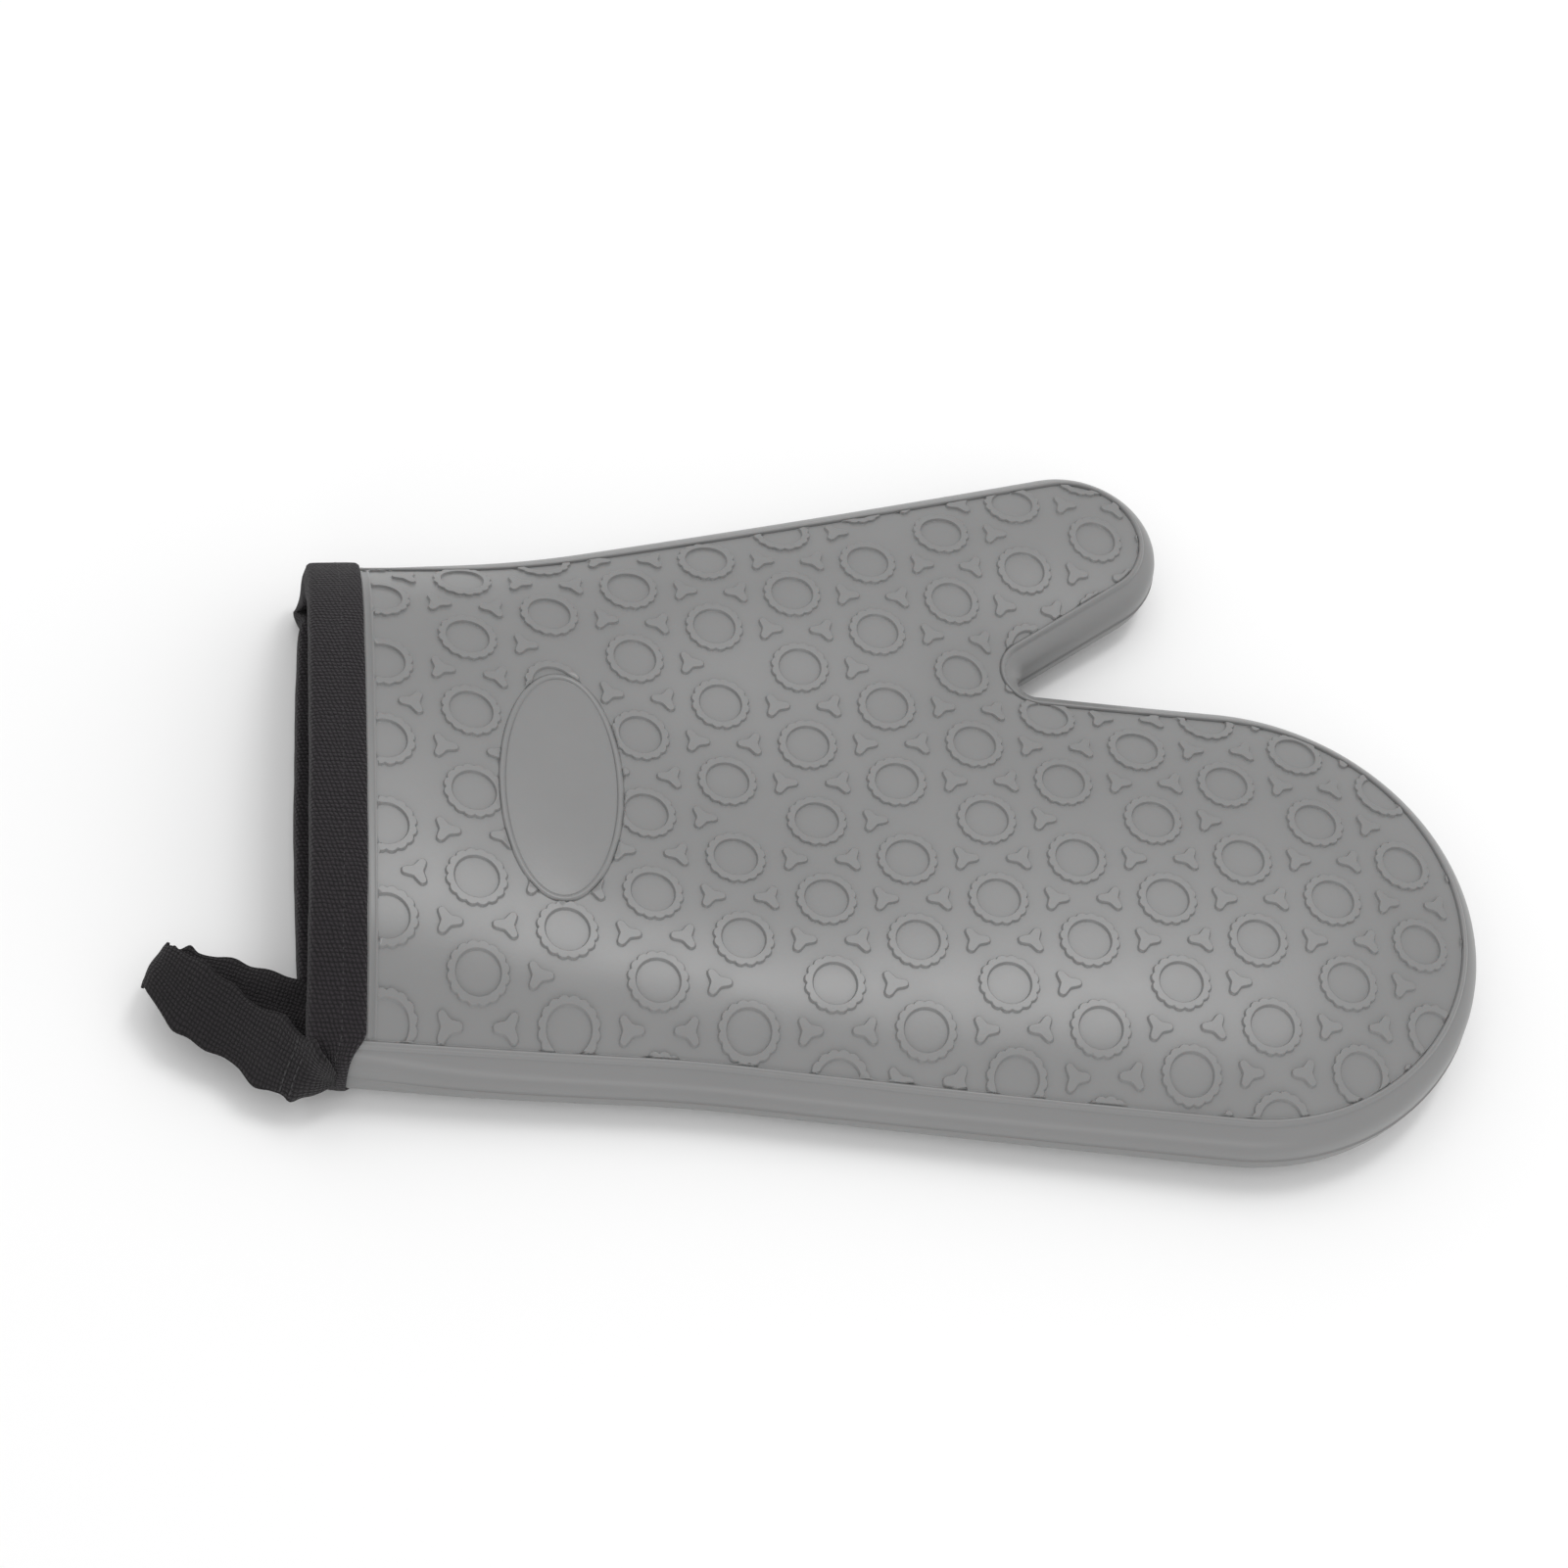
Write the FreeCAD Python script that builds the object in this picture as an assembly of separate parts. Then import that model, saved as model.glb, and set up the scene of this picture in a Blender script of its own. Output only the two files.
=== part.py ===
import FreeCAD, Part

import math
import os

from FreeCAD import Vector

# Silicone oven mitt, lying flat with its thumb towards +Y, its fingertips towards +X
# and its open cuff towards -X. Lengths are in millimetres.
#
# The moulded shell is one pouch. Its plan outline is a chain of circles joined by their
# tangents, and its depth is a stack of that outline, inset or bulged at each height.
# Everything that lies inside the shell is the same stack, shrunk by the layers around it.

# Plan of the face edge. Each circle is (x, y, radius).
FINGERTIP = (102.8, -34.5, 55.0)
THUMB_TIP = (79.8, 75.6, 17.7)
CROTCH = (66.0, 34.0, 9.1)
PALM_BEND = (-50.0, -373.6, 300.0)     # hollow of the long edge
WRIST_BEND = (-95.0, 278.0, 220.0)     # hollow of the wrist on the thumb side
CUFF_X = -108.8                        # where the shell and its lining end
CUFF_LOW_Y = -70.8
CUFF_HIGH_Y = 56.2

# Depth of the shell
THICKNESS = 28.0
EDGE_HEIGHT = 16.8                     # from the lower face edge to the upper one
WALL_BULGE = 5.0                       # how far the side wall stands out of the face edge
CROWN_INSET = 8.0                      # the puffed upper face flattens out over this width
SHELL_WALL = 2.0

# Moulded details of the shell
RIB_HEIGHT = 0.6
RIB_WIDTH = 2.6
PLAQUE = (-53.0, -7.0)                 # middle of the blank oval plaque
PLAQUE_HALF_LENGTH = 30.5
PLAQUE_HALF_WIDTH = 14.0
PLAQUE_RIM = 1.6
PLAQUE_RIM_HEIGHT = 0.5
PLAQUE_LEAN = -3.0                     # degrees

# Quilted lining, from the shell inwards
LINING_GAP = 0.2
BACKING = 0.4
WADDING = 2.4
COTTON = 0.6
LAYER_GAP = 0.1
QUILT_CLEARANCE = 0.25                 # between the quilting and the curved edges of the hand space
SEAM_GAP = 1.0                         # between the palm half and the back half
THREAD = 0.35
QUILT_PITCH = 32.0
QUILT_LINE = 0.6

# Binding tape folded round the mouth
TAPE = 1.2
BINDING_WIDTH = 12.0
BINDING_CLEARANCE = 0.05
STITCH_INSET = 2.0                     # stitch line from the edge of the binding
STITCH_WIDTH = 0.7

# Hanging loop, a folded tape that stands out of the cuff's lower corner
LOOP_ROOT_Y = -62.0
LOOP_LENGTH = 43.0
LOOP_TURN = 141.0                      # degrees from +X to the way the loop points
LOOP_TAPE = 2.0
LOOP_WIDTH = 13.5
LOOP_EYE = 7.4                         # clear height between the two legs
LOOP_CLEARANCE = 0.4                   # between the loop's rounded root and the binding
LOOP_CENTRE_Z = 10.0
LOOP_TAIL = 7.0                        # length of the two legs sewn flat together

BIG = 400.0
LINING_OUT = SHELL_WALL + LINING_GAP
WADDING_OUT = LINING_OUT + BACKING + LAYER_GAP
COTTON_OUT = WADDING_OUT + WADDING + LAYER_GAP
HAND_SPACE = COTTON_OUT + COTTON
BINDING_IN = HAND_SPACE + BINDING_CLEARANCE + TAPE
BINDING_X = CUFF_X - BINDING_CLEARANCE - TAPE
SHELL_STEP_X = BINDING_X + BINDING_WIDTH + BINDING_CLEARANCE
LOOP_ROOT_X = BINDING_X - LOOP_CLEARANCE - LOOP_TAPE / 2

os.makedirs("parts", exist_ok=True)


def tangent(first, second):
    """Ends of the line that leaves one circle and runs onto the next.

    A circle is (x, y, r) with r above zero when the outline turns left round it."""
    dx = second[0] - first[0]
    dy = second[1] - first[1]
    heading = math.atan2(dy, dx)
    side = heading - math.acos((first[2] - second[2]) / math.hypot(dx, dy))
    out = Vector(math.cos(side), math.sin(side), 0)
    start = Vector(first[0], first[1], 0) + out * first[2]
    end = Vector(second[0], second[1], 0) + out * second[2]
    return start, end


def at_x(start, end, x):
    """Where the line through two points reaches x."""
    return start + (end - start) * ((x - start.x) / (end.x - start.x))


def on_arc(circle, start, end):
    """Middle of the arc that a signed circle turns from start to end."""
    x, y, radius = circle
    turn = math.copysign(1.0, radius)
    first = math.atan2(start.y - y, start.x - x)
    last = math.atan2(end.y - y, end.x - x)
    half = ((last - first) * turn % (2 * math.pi)) / 2 * turn
    return Vector(x + abs(radius) * math.cos(first + half), y + abs(radius) * math.sin(first + half), 0)


def outline(offset, cuff_x, z):
    """Closed wire of the mitt's plan, moved outwards by offset, at height z."""
    circles = [
        (CUFF_X, CUFF_LOW_Y, offset),
        (PALM_BEND[0], PALM_BEND[1], offset - PALM_BEND[2]),
        (FINGERTIP[0], FINGERTIP[1], FINGERTIP[2] + offset),
        (CROTCH[0], CROTCH[1], offset - CROTCH[2]),
        (THUMB_TIP[0], THUMB_TIP[1], THUMB_TIP[2] + offset),
        (WRIST_BEND[0], WRIST_BEND[1], offset - WRIST_BEND[2]),
        (CUFF_X, CUFF_HIGH_Y, offset),
    ]
    lines = [list(tangent(a, b)) for a, b in zip(circles, circles[1:])]
    lines[0][0] = at_x(lines[0][0], lines[0][1], cuff_x)
    lines[-1][1] = at_x(lines[-1][0], lines[-1][1], cuff_x)
    edges = []
    for index, (start, end) in enumerate(lines):
        edges.append(Part.LineSegment(start, end).toShape())
        if index + 1 < len(lines):
            after = lines[index + 1][0]
            edges.append(Part.Arc(end, on_arc(circles[index + 1], end, after), after).toShape())
    edges.append(Part.LineSegment(lines[-1][1], lines[0][0]).toShape())
    wire = Part.Wire(edges)
    wire.translate(Vector(0, 0, z))
    return wire


def pouch(shrink, cuff_x):
    """Solid of the mitt's outer shape, made smaller all round by shrink."""
    middle = EDGE_HEIGHT / 2
    crown = THICKNESS - EDGE_HEIGHT
    profile = [
        (0.0, 0.0),
        (0.78 * WALL_BULGE, 0.3 * middle),
        (WALL_BULGE, middle),
        (0.78 * WALL_BULGE, 1.7 * middle),
        (0.0, EDGE_HEIGHT),
        (-0.45 * CROWN_INSET, EDGE_HEIGHT + 0.55 * crown),
        (-CROWN_INSET, THICKNESS),
    ]
    squeeze = (THICKNESS - 2 * shrink) / THICKNESS
    wires = []
    for offset, z in profile:
        wires.append(outline(offset - shrink, cuff_x, shrink + z * squeeze))
    return Part.makeLoft(wires, True, True)


def slab(x0, x1, z0=-BIG, z1=BIG):
    """Box between two planes across X and two across Z."""
    return Part.makeBox(x1 - x0, 2 * BIG, z1 - z0, Vector(x0, -BIG, z0))


def layer(outer_shrink, inner_shrink, x0, x1=BIG, z0=-BIG, z1=BIG):
    """The skin between two sizes of the pouch, cut to a range of X and Z."""
    outer = pouch(outer_shrink, x0 - 1.0)
    inner = pouch(inner_shrink, x0 - 2.0)
    return outer.cut(inner).common(slab(x0, x1, z0, z1))


def oval(half_width, half_length, z, height):
    """Upright elliptical disc, its long way along Y, leaning like the plaque."""
    ellipse = Part.Ellipse(Vector(0, 0, 0), half_length, half_width)
    face = Part.Face(Part.Wire(ellipse.toShape()))
    face.rotate(Vector(0, 0, 0), Vector(0, 0, 1), 90 + PLAQUE_LEAN)
    face.translate(Vector(PLAQUE[0], PLAQUE[1], z))
    return face.extrude(Vector(0, 0, height))


def silicone_shell():
    """Hollow moulding with a thinner neck under the binding, a cuff rib and the plaque."""
    body = layer(0.0, SHELL_WALL, CUFF_X)
    neck_step = layer(-1.0, TAPE, CUFF_X - 1.0, SHELL_STEP_X)
    body = body.cut(neck_step)
    rib = layer(-RIB_HEIGHT, SHELL_WALL / 2, SHELL_STEP_X, SHELL_STEP_X + RIB_WIDTH, 0.0)
    rim_z = THICKNESS - SHELL_WALL / 2
    rim_height = SHELL_WALL / 2 + PLAQUE_RIM_HEIGHT
    rim = oval(PLAQUE_HALF_WIDTH, PLAQUE_HALF_LENGTH, rim_z, rim_height)
    inner_width = PLAQUE_HALF_WIDTH - PLAQUE_RIM
    inner_length = PLAQUE_HALF_LENGTH - PLAQUE_RIM
    rim = rim.cut(oval(inner_width, inner_length, rim_z - 1.0, rim_height + 2.0))
    return body.fuse([rib, rim]).removeSplitter()


def split_height():
    """Height of the lining's side seam, half way up the shell's edge."""
    return EDGE_HEIGHT / 2


def quilting(z0):
    """Diamond grid of stitched lines lying on one face of the hand space."""
    bars = []
    reach = 260.0
    count = int(reach / QUILT_PITCH)
    for angle in (45.0, -45.0):
        for index in range(-count, count + 1):
            start = Vector(-reach, index * QUILT_PITCH - QUILT_LINE / 2, z0)
            bar = Part.makeBox(2 * reach, QUILT_LINE, THREAD, start)
            bar.rotate(Vector(0, 0, 0), Vector(0, 0, 1), angle)
            bars.append(bar)
    grid = bars[0].fuse(bars[1:])
    free_x = BINDING_X + BINDING_WIDTH + 1.0
    room = pouch(HAND_SPACE + QUILT_CLEARANCE, free_x - 1.0)
    return grid.common(room).common(slab(free_x, BIG))


def cuff_binding():
    """Tape folded over the rim: outer leg, end cap and inner leg in one, with a stitch groove."""
    x1 = BINDING_X + BINDING_WIDTH
    folded = layer(0.0, BINDING_IN, BINDING_X, x1)
    held = layer(TAPE - BINDING_CLEARANCE, HAND_SPACE + BINDING_CLEARANCE, BINDING_X + TAPE, x1 + 1.0)
    groove_x = x1 - STITCH_INSET - STITCH_WIDTH
    groove = layer(-1.0, THREAD, groove_x, groove_x + STITCH_WIDTH)
    return folded.cut(held).cut(groove)


def binding_stitching():
    """Sewn line round the outer leg of the binding, sunk into the tape."""
    side = 0.05
    x0 = BINDING_X + BINDING_WIDTH - STITCH_INSET - STITCH_WIDTH + side
    return layer(0.05, THREAD - side, x0, x0 + STITCH_WIDTH - 2 * side)


def loop_profile(half_height, start, end, tail):
    """Teardrop in the plane of the loop's length (X) and height (Z)."""
    belly = start + tail + (end - start - tail) * 0.45
    slim = LOOP_TAPE / 2 if half_height > LOOP_EYE / 2 else 0.3
    top = [
        Vector(start + tail, 0, slim),
        Vector(belly, 0, half_height),
        Vector(end, 0, 0),
    ]
    arc_top = Part.Arc(*top).toShape()
    low = [Vector(p.x, 0, -p.z) for p in reversed(top)]
    arc_low = Part.Arc(*low).toShape()
    edges = [arc_top, arc_low]
    if half_height > LOOP_EYE / 2:
        corner_low = Vector(start, 0, -slim)
        corner_high = Vector(start, 0, slim)
        edges.append(Part.LineSegment(low[-1], corner_low).toShape())
        edges.append(Part.LineSegment(corner_low, corner_high).toShape())
        edges.append(Part.LineSegment(corner_high, top[0]).toShape())
    else:
        edges.append(Part.LineSegment(low[-1], top[0]).toShape())
    return Part.Face(Part.Wire(edges))


def place_loop(shape):
    """Turn a shape built along +X to the loop's heading at its root, beside the rim."""
    shape.rotate(Vector(0, 0, 0), Vector(0, 0, 1), LOOP_TURN)
    shape.translate(Vector(LOOP_ROOT_X, LOOP_ROOT_Y, LOOP_CENTRE_Z))
    return shape


def hanging_loop():
    """Flat tape folded back on itself, its two ends together at the cuff's corner."""
    reach = LOOP_WIDTH
    outer = loop_profile(LOOP_EYE / 2 + LOOP_TAPE, -reach, LOOP_LENGTH, reach + LOOP_TAIL)
    inner = loop_profile(LOOP_EYE / 2, 1.0, LOOP_LENGTH - LOOP_TAPE * 1.4, LOOP_TAIL + 1.0)
    strip = outer.cut(inner).extrude(Vector(0, LOOP_WIDTH, 0))
    strip.translate(Vector(0, -LOOP_WIDTH / 2, 0))
    strip = place_loop(strip).common(slab(-BIG, LOOP_ROOT_X))
    root_width = LOOP_WIDTH / abs(math.cos(math.radians(LOOP_TURN)))
    low_end = Vector(LOOP_ROOT_X, LOOP_ROOT_Y - root_width / 2, LOOP_CENTRE_Z)
    root = Part.makeCylinder(LOOP_TAPE / 2, root_width, low_end, Vector(0, 1, 0))
    return strip.fuse(root).removeSplitter()


def loop_stitching():
    """Two short sewn rows that hold the loop's legs together near the root."""
    rows = []
    for side in (-1, 1):
        y = side * LOOP_WIDTH * 0.25
        corner = Vector(LOOP_TAIL * 0.5, y, LOOP_TAPE / 2 + 0.05)
        row = Part.makeBox(LOOP_TAIL * 0.4, STITCH_WIDTH, THREAD, corner)
        rows.append(place_loop(row))
    return Part.makeCompound(rows)


def save(name, shape):
    shape.exportStep("parts/" + name + ".step")
    box = shape.BoundBox
    print(name, len(shape.Solids), shape.isValid(), round(shape.Volume / 1000, 2),
          [round(v, 1) for v in (box.XMin, box.YMin, box.ZMin, box.XMax, box.YMax, box.ZMax)])


seam = split_height()
halves = {
    "palm": (-BIG, seam - SEAM_GAP / 2),
    "back": (seam + SEAM_GAP / 2, BIG),
}
nodes = {"silicone_shell": silicone_shell()}
for half, (z0, z1) in halves.items():
    nodes["lining_" + half + "_backing"] = layer(LINING_OUT, LINING_OUT + BACKING, CUFF_X, BIG, z0, z1)
    nodes["lining_" + half + "_wadding"] = layer(WADDING_OUT, WADDING_OUT + WADDING, CUFF_X, BIG, z0, z1)
    nodes["lining_" + half + "_cotton"] = layer(COTTON_OUT, HAND_SPACE, CUFF_X, BIG, z0, z1)
seam_free = SEAM_GAP / 2 - 0.1
seam_x = BINDING_X + BINDING_WIDTH
nodes["lining_seam_thread"] = layer(WADDING_OUT, COTTON_OUT, seam_x, BIG, seam - seam_free, seam + seam_free)
quilt_low = HAND_SPACE + QUILT_CLEARANCE
nodes["quilting_thread_palm"] = quilting(quilt_low)
nodes["quilting_thread_back"] = quilting(THICKNESS - quilt_low - THREAD)
nodes["cuff_binding"] = cuff_binding()
nodes["binding_stitching"] = binding_stitching()
nodes["hanging_loop"] = hanging_loop()
nodes["loop_stitching"] = loop_stitching()

whole = Part.makeCompound([nodes["silicone_shell"], nodes["hanging_loop"]]).optimalBoundingBox()
centre = Vector(-(whole.XMin + whole.XMax) / 2, -(whole.YMin + whole.YMax) / 2, 0)
for name, shape in nodes.items():
    shape.translate(centre)
    save(name, shape)
print("moved by", [round(v, 3) for v in centre])
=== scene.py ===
"""Silicone oven mitt with an embossed shell, bound cuff, quilted lining and hanging loop."""
import math

import bmesh
import bpy
import numpy as np
from mathutils import Matrix, Vector
from mathutils.geometry import delaunay_2d_cdt
from mathutils.kdtree import KDTree


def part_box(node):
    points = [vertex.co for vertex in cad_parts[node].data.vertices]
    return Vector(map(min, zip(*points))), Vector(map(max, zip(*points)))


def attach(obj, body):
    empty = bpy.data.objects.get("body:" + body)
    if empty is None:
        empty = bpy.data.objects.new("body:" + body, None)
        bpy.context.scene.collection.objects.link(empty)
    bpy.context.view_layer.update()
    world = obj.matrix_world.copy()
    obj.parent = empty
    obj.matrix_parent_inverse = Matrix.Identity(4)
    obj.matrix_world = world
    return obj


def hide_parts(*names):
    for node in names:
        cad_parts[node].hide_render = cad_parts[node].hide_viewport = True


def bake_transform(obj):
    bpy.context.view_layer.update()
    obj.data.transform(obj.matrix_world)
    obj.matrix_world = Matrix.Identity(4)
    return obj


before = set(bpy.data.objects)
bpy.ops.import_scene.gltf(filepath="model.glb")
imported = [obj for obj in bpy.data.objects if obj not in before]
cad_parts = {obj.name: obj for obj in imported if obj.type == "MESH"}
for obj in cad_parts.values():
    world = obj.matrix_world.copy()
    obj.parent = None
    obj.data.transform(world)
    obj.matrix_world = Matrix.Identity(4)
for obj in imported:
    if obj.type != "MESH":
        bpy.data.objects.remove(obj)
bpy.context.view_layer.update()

# Plan sizes are in millimetres from the middle of the hand, and to_frame() turns them into
# metres in the row frame. The edge circles are (x, y, radius), below zero where the edge is hollow.
MM = 0.001
CUFF_X = -108.8
EDGE_CIRCLES = [
    (CUFF_X, -70.8, 0.0),
    (-50.0, -373.6, -300.0),
    (102.8, -34.5, 55.0),
    (66.0, 34.0, -9.1),
    (79.8, 75.6, 17.7),
    (-95.0, 278.0, -220.0),
    (CUFF_X, 56.2, 0.0),
]
WALL_BULGE = 5.0
shell_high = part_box("silicone_shell")[1]
FINGERTIP = EDGE_CIRCLES[2]
THUMB_TIP = EDGE_CIRCLES[4]
SHIFT = (
    shell_high.x / MM - FINGERTIP[0] - FINGERTIP[2] - WALL_BULGE,
    shell_high.y / MM - THUMB_TIP[1] - THUMB_TIP[2] - WALL_BULGE,
    0.0,
)

# Depth of the shell
EDGE_HEIGHT = 16.2            # foot of the upper bead
FLOOR_GAP = 0.9               # foot of the lower bead, whose crest rests on the floor
BOW = 0.000214                # the upper edge rises towards the fingertips
CROWN = 8.4                   # height of the puffed face over its edge, doubled at the cuff
CROWN_REACH = 16.8
CUFF_REACH = 42.0
CUFF_LIFT = 5.0               # the lower lip lifts off the floor
SHELL_WALL = 2.0
WALL_FULLNESS = 3.3           # power of the side wall's profile, higher for squarer
WALL_PINCH = 0.42             # share of the side wall's bulge that the binding takes at the cuff
# Soft hollows and swells of the upper face: (x, y, half width, half length, rise)
SAGS = [(-12.0, 5.0, 32.0, 30.0, -5.0), (-95.0, 15.0, 28.0, 35.0, 2.6), (60.0, 45.0, 25.0, 20.0, -1.2)]

# Relief moulded on both faces
BEAD_HALF = 0.75
BEAD_HEIGHT = 1.0
LEDGE = 1.3                   # from the middle of the bead to where the side wall starts
RIB_X = -96.6                 # two fine ribs beside the binding, one each side of this
RIB_GAP = 0.75
RIB_HALF = 0.4
RIB_HEIGHT = 0.5
PATTERN_START = RIB_X + RIB_GAP
PATTERN_HEIGHT = 0.75
SOFT_EDGE = 0.28              # width of a moulded edge's slope
RING_ORIGIN = (25.4, -2.66)
RING_STEP_I = (19.85, 10.9)
RING_STEP_J = (0.0, -21.8)
RING_RADIUS = 7.0
RING_HOLE = 5.0
LOBES = 16
LOBE_DEPTH = 0.55
STAR_BODY = 1.4
STAR_ARM = 2.0
STAR_WIDTH = 0.46            # radians
PLAQUE = (-53.5, -8.3)
PLAQUE_HALF = (14.5, 31.1)
PLAQUE_LEAN = math.radians(-3.0)
PLAQUE_RIM = 1.5
PLAQUE_RIM_HEIGHT = 0.5


def to_frame(points):
    """Plan millimetres to row frame metres."""
    return (np.asarray(points, float) + SHIFT) * MM


def smooth(share):
    share = np.clip(share, 0.0, 1.0)
    return share * share * (3.0 - 2.0 * share)


# ---------------------------------------------------------------- plan of the mitt


def edge_runs(offset):
    """The open plan edge as runs: ("line", start, end) or ("arc", centre, radius, first, sweep)."""
    circles = [(x, y, r + offset) for x, y, r in EDGE_CIRCLES]
    lines = []
    for (ax, ay, ar), (bx, by, br) in zip(circles, circles[1:]):
        side = math.atan2(by - ay, bx - ax) - math.acos((ar - br) / math.hypot(bx - ax, by - ay))
        out = np.array((math.cos(side), math.sin(side)))
        lines.append([np.array((ax, ay)) + out * ar, np.array((bx, by)) + out * br])
    for line, end in ((lines[0], 0), (lines[-1], 1)):
        along = line[1] - line[0]
        line[end] = line[0] + along * ((CUFF_X - line[0][0]) / along[0])
    runs = []
    for index, (start, end) in enumerate(lines):
        runs.append(("line", start, end))
        if index + 1 < len(lines):
            x, y, radius = circles[index + 1]
            after = lines[index + 1][0]
            turn = math.copysign(1.0, radius)
            first = math.atan2(end[1] - y, end[0] - x)
            last = math.atan2(after[1] - y, after[0] - x)
            sweep = ((last - first) * turn % (2 * math.pi)) * turn
            runs.append(("arc", np.array((x, y)), abs(radius), first, sweep))
    return runs


def run_length(run):
    if run[0] == "line":
        return np.linalg.norm(run[2] - run[1])
    return run[2] * abs(run[4])


def edge(offset, spacing):
    """Points along the plan edge from the cuff's low corner to its high one, as many for every offset."""
    points = []
    for run, nominal in zip(edge_runs(offset), edge_runs(0.0)):
        closer = 0.45 if run[0] == "arc" and nominal[2] < 30.0 else 1.0
        count = max(2, round(run_length(nominal) / (spacing * closer)))
        share = np.arange(count)[:, None] / count
        if run[0] == "line":
            points.append(run[1] + (run[2] - run[1]) * share)
        else:
            angle = run[3] + run[4] * share
            points.append(run[1] + run[2] * np.hstack((np.cos(angle), np.sin(angle))))
    points.append(edge_runs(offset)[-1][2][None, :])
    return np.vstack(points)


def inside_distance(points):
    """Distance of each point inwards from the plan edge, below zero outside it."""
    nearest = np.full(len(points), 1e9)
    sign = np.ones(len(points))
    for run in edge_runs(0.0):
        if run[0] == "line":
            along = run[2] - run[1]
            length = np.linalg.norm(along)
            along = along / length
            away = points - run[1]
            reach = np.clip(away @ along, 0.0, length)
            gap = away - reach[:, None] * along
            distance = np.hypot(gap[:, 0], gap[:, 1])
            side = along[0] * away[:, 1] - along[1] * away[:, 0]
        else:
            away = points - run[1]
            radius = np.hypot(away[:, 0], away[:, 1])
            turn = math.copysign(1.0, run[4])
            swept = ((np.arctan2(away[:, 1], away[:, 0]) - run[3]) * turn) % (2 * math.pi)
            distance = np.where(swept <= abs(run[4]), abs(radius - run[2]), 1e9)
            side = (run[2] - radius) * turn
        closer = distance < nearest - 1e-9
        nearest = np.where(closer, distance, nearest)
        sign = np.where(closer, np.sign(side), sign)
    return nearest * sign


# ---------------------------------------------------------------- moulded relief


def lattice(i, j):
    """Middle of the ring in column i and row j."""
    x = RING_ORIGIN[0] + i * RING_STEP_I[0] + j * RING_STEP_J[0]
    y = RING_ORIGIN[1] + i * RING_STEP_I[1] + j * RING_STEP_J[1]
    return np.array((x, y))


def pattern_places():
    """Middles of the rings, and of the three-pointed marks with the angle of their first arm."""
    rings, marks = [], []
    for i in range(-9, 9):
        for j in range(-12, 12):
            rings.append(lattice(i, j))
            right = (lattice(i, j) + lattice(i + 1, j) + lattice(i + 1, j + 1)) / 3
            marks.append((*right, 0.0))
            if i % 2 or (j + i // 2) % 2:
                left = (lattice(i, j) + lattice(i, j + 1) + lattice(i + 1, j + 1)) / 3
                marks.append((*left, math.pi))
    rings, marks = np.array(rings), np.array(marks)
    rings = rings[(inside_distance(rings) > -RING_RADIUS) & (rings[:, 0] > CUFF_X)]
    marks = marks[(inside_distance(marks[:, :2]) > -2.0) & (marks[:, 0] > CUFF_X)]
    return rings, marks


RINGS, MARKS = pattern_places()


def ring_rim(angle):
    return RING_RADIUS - LOBE_DEPTH * (1.0 - np.abs(np.sin(angle * LOBES / 2)) ** 0.7)


def mark_rim(angle):
    """Radius of a three-pointed mark at an angle from its first arm, and how slanted its edge is there."""
    turn = (angle + math.pi / 3) % (2 * math.pi / 3) - math.pi / 3
    share = np.abs(turn) / STAR_WIDTH
    radius = STAR_BODY + STAR_ARM / (1.0 + share**3)
    slope = -STAR_ARM * 3.0 * share**2 / STAR_WIDTH / (1.0 + share**3) ** 2
    return radius, np.sqrt(1.0 + (slope / radius) ** 2)


def plaque_depth(points):
    """Distance inwards from the plaque's oval edge."""
    away = points - np.array(PLAQUE)
    cosine, sine = math.cos(PLAQUE_LEAN), math.sin(PLAQUE_LEAN)
    u = away[:, 0] * cosine + away[:, 1] * sine
    v = away[:, 1] * cosine - away[:, 0] * sine
    share = np.hypot(u / PLAQUE_HALF[0], v / PLAQUE_HALF[1]) + 1e-9
    steep = np.hypot(u / PLAQUE_HALF[0] ** 2, v / PLAQUE_HALF[1] ** 2) / share + 1e-9
    return (1.0 - share) / steep


def pattern(points):
    """Height of the rings and marks, from 0 to 1."""
    away = points[:, None, :] - RINGS[None, :, :]
    near = np.argmin((away**2).sum(2), axis=1)
    away = away[np.arange(len(points)), near]
    radius = np.hypot(away[:, 0], away[:, 1])
    rim = ring_rim(np.arctan2(away[:, 1], away[:, 0]))
    ring = smooth(np.minimum(rim - radius, radius - RING_HOLE) / SOFT_EDGE + 0.5)
    away = points[:, None, :] - MARKS[None, :, :2]
    near = np.argmin((away**2).sum(2), axis=1)
    away = away[np.arange(len(points)), near]
    radius = np.hypot(away[:, 0], away[:, 1])
    rim, slant = mark_rim(np.arctan2(away[:, 1], away[:, 0]) - MARKS[near, 2])
    mark = smooth((rim - radius) / slant / SOFT_EDGE + 0.5)
    return np.maximum(ring, mark)


def relief(points):
    """Height of the moulded detail over the plain face."""
    depth = inside_distance(points)
    bead = BEAD_HEIGHT * np.sqrt(np.clip(1.0 - (depth / BEAD_HALF) ** 2, 0.0, 1.0))
    oval = plaque_depth(points)
    ridge = np.abs(oval - PLAQUE_RIM / 2) / (PLAQUE_RIM / 2)
    rim = PLAQUE_RIM_HEIGHT * np.sqrt(np.clip(1.0 - ridge**2, 0.0, 1.0))
    from_ribs = np.abs(np.abs(points[:, 0] - RIB_X) - RIB_GAP)
    rib = RIB_HEIGHT * smooth((RIB_HALF - from_ribs) / SOFT_EDGE)
    free = smooth((depth - BEAD_HALF) / 0.2) * smooth(-oval / 0.3)
    free *= smooth((points[:, 0] - PATTERN_START) / 0.3)
    height = np.maximum(PATTERN_HEIGHT * pattern(points) * free, bead)
    return np.maximum(height, np.maximum(rim, rib))


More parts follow.
